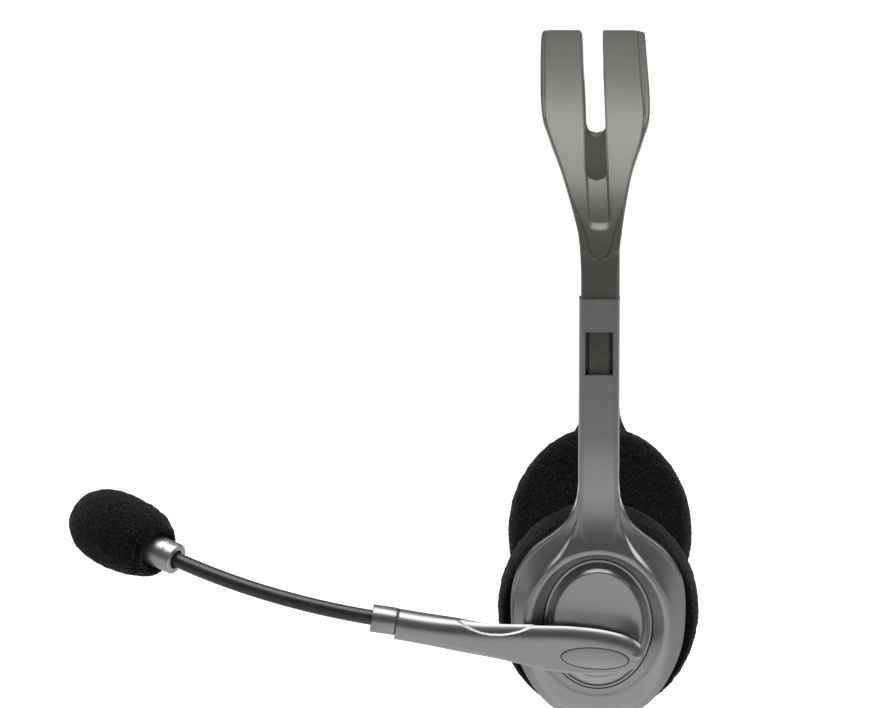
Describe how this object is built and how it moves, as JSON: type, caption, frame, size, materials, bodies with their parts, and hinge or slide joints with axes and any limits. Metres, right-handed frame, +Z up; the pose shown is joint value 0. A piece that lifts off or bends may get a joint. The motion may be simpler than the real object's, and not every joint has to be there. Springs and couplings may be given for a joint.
{
  "type": "office headset",
  "caption": "Over-the-head office headset with a slotted springy headband, sliding on-ear foam cups and a swivelling boom microphone on a flexible gooseneck.",
  "frame": {"origin": "midway between the two ear pads' mid-planes, where the middle of the wearer's head is", "axes": "+Z up; the wearer faces -X, so the microphone is on the -X side; the wearer's left cup, with the boom, is on the -Y side"},
  "size_m": [0.1776, 0.1624, 0.1933],
  "materials": {
    "band_plastic": "satin",
    "silver_paint": "satin",
    "steel": "satin",
    "black_plastic": "matte",
    "magnet_steel": "satin",
    "diaphragm_film": "gloss",
    "acoustic_cloth": "matte",
    "felt": "matte",
    "board_green": "gloss",
    "soft_rubber": "matte",
    "pad_foam": "matte",
    "mic_foam": "matte",
    "gooseneck_rubber": "satin",
    "collar_metal": "satin"
  },
  "bodies": {
    "headband": {"left_headband_half": "band_plastic"},
    "band_right": {"right_headband_half": "band_plastic"},
    "left_cup": {"left_arm_shell": "silver_paint", "left_trim_disc": "silver_paint", "left_arm_back_cover": "band_plastic", "left_arm_cover_screw": "steel", "left_detent_spring": "steel", "left_baffle": "black_plastic", "left_baffle_screws": "steel", "left_driver_frame": "black_plastic", "left_driver_magnet": "magnet_steel", "left_driver_diaphragm": "diaphragm_film", "left_acoustic_cloth": "acoustic_cloth", "left_felt_damper": "felt", "left_terminal_board": "board_green", "left_cord_grommet": "soft_rubber", "left_ear_pad": "pad_foam", "boom_pivot_screw": "steel", "boom_friction_washer": "steel"},
    "right_cup": {"right_arm_shell": "silver_paint", "right_trim_disc": "silver_paint", "right_arm_back_cover": "band_plastic", "right_arm_cover_screw": "steel", "right_detent_spring": "steel", "right_baffle": "black_plastic", "right_baffle_screws": "steel", "right_driver_frame": "black_plastic", "right_driver_magnet": "magnet_steel", "right_driver_diaphragm": "diaphragm_film", "right_acoustic_cloth": "acoustic_cloth", "right_felt_damper": "felt", "right_terminal_board": "board_green", "right_cord_grommet": "soft_rubber", "right_ear_pad": "pad_foam"},
    "boom": {"boom_outer_shell": "silver_paint", "boom_inner_shell": "silver_paint", "boom_badge": "silver_paint", "boom_end_sleeve": "silver_paint", "gooseneck_root": "gooseneck_rubber"},
    "neck_1": {"gooseneck_link_1": "gooseneck_rubber"},
    "neck_2": {"gooseneck_link_2": "gooseneck_rubber"},
    "neck_3": {"gooseneck_link_3": "gooseneck_rubber"},
    "neck_4": {"gooseneck_link_4": "gooseneck_rubber"},
    "neck_5": {"gooseneck_link_5": "gooseneck_rubber"},
    "neck_6": {"gooseneck_link_6": "gooseneck_rubber"},
    "neck_7": {"gooseneck_link_7": "gooseneck_rubber"},
    "microphone": {"gooseneck_tip": "gooseneck_rubber", "mic_collar": "collar_metal", "capsule_holder": "black_plastic", "mic_capsule": "collar_metal", "capsule_felt": "felt", "mic_windscreen": "mic_foam"}
  },
  "joints": [
    {"name": "band_flex", "type": "hinge", "parent": "headband", "child": "band_right", "pos_m": [0, 0, 0.1579], "axis": [1, 0, 0], "range_deg": [0, 18], "stiffness_Nm_per_rad": 1.2},
    {"name": "left_slider", "type": "slide", "parent": "headband", "child": "left_cup", "axis": [0, 0.0523, -0.9986], "range_m": [0, 0.018]},
    {"name": "right_slider", "type": "slide", "parent": "band_right", "child": "right_cup", "axis": [0, -0.0523, -0.9986], "range_m": [0, 0.018]},
    {"name": "boom_swivel", "type": "hinge", "parent": "left_cup", "child": "boom", "pos_m": [-0.00075, -0.07057, -0.00876], "axis": [0, -0.9613, -0.2756], "range_deg": [-165, 25]},
    {"name": "neck_in_1", "type": "hinge", "parent": "boom", "child": "neck_1", "pos_m": [-0.06631, -0.07595, 0.00114], "axis": [0.1754, -0.2714, 0.9464], "range_deg": [-15, 15]},
    {"name": "neck_up_1", "type": "hinge", "parent": "neck_1", "child": "neck_2", "pos_m": [-0.07353, -0.07584, 0.00251], "axis": [-0.0965, -0.9614, -0.2578], "range_deg": [-15, 15]},
    {"name": "neck_in_2", "type": "hinge", "parent": "neck_2", "child": "neck_3", "pos_m": [-0.0807, -0.07527, 0.004], "axis": [0.1754, -0.2714, 0.9464], "range_deg": [-15, 15]},
    {"name": "neck_up_2", "type": "hinge", "parent": "neck_3", "child": "neck_4", "pos_m": [-0.0878, -0.07424, 0.00561], "axis": [-0.2236, -0.9471, -0.2302], "range_deg": [-15, 15]},
    {"name": "neck_in_3", "type": "hinge", "parent": "neck_4", "child": "neck_5", "pos_m": [-0.09479, -0.07276, 0.00733], "axis": [0.1754, -0.2714, 0.9464], "range_deg": [-15, 15]},
    {"name": "neck_up_3", "type": "hinge", "parent": "neck_5", "child": "neck_6", "pos_m": [-0.10164, -0.07082, 0.00915], "axis": [-0.3468, -0.9167, -0.1986], "range_deg": [-15, 15]},
    {"name": "neck_in_4", "type": "hinge", "parent": "neck_6", "child": "neck_7", "pos_m": [-0.10832, -0.06845, 0.01107], "axis": [0.1754, -0.2714, 0.9464], "range_deg": [-15, 15]},
    {"name": "neck_up_4", "type": "hinge", "parent": "neck_7", "child": "microphone", "pos_m": [-0.11481, -0.06564, 0.01308], "axis": [-0.4641, -0.8705, -0.1636], "range_deg": [-15, 15]}
  ],
  "couplings": [
    {"joint": "neck_in_2", "follows": "neck_in_1", "ratio": 1},
    {"joint": "neck_up_2", "follows": "neck_up_1", "ratio": 1},
    {"joint": "neck_in_3", "follows": "neck_in_1", "ratio": 1},
    {"joint": "neck_up_3", "follows": "neck_up_1", "ratio": 1},
    {"joint": "neck_in_4", "follows": "neck_in_1", "ratio": 1},
    {"joint": "neck_up_4", "follows": "neck_up_1", "ratio": 1}
  ]
}
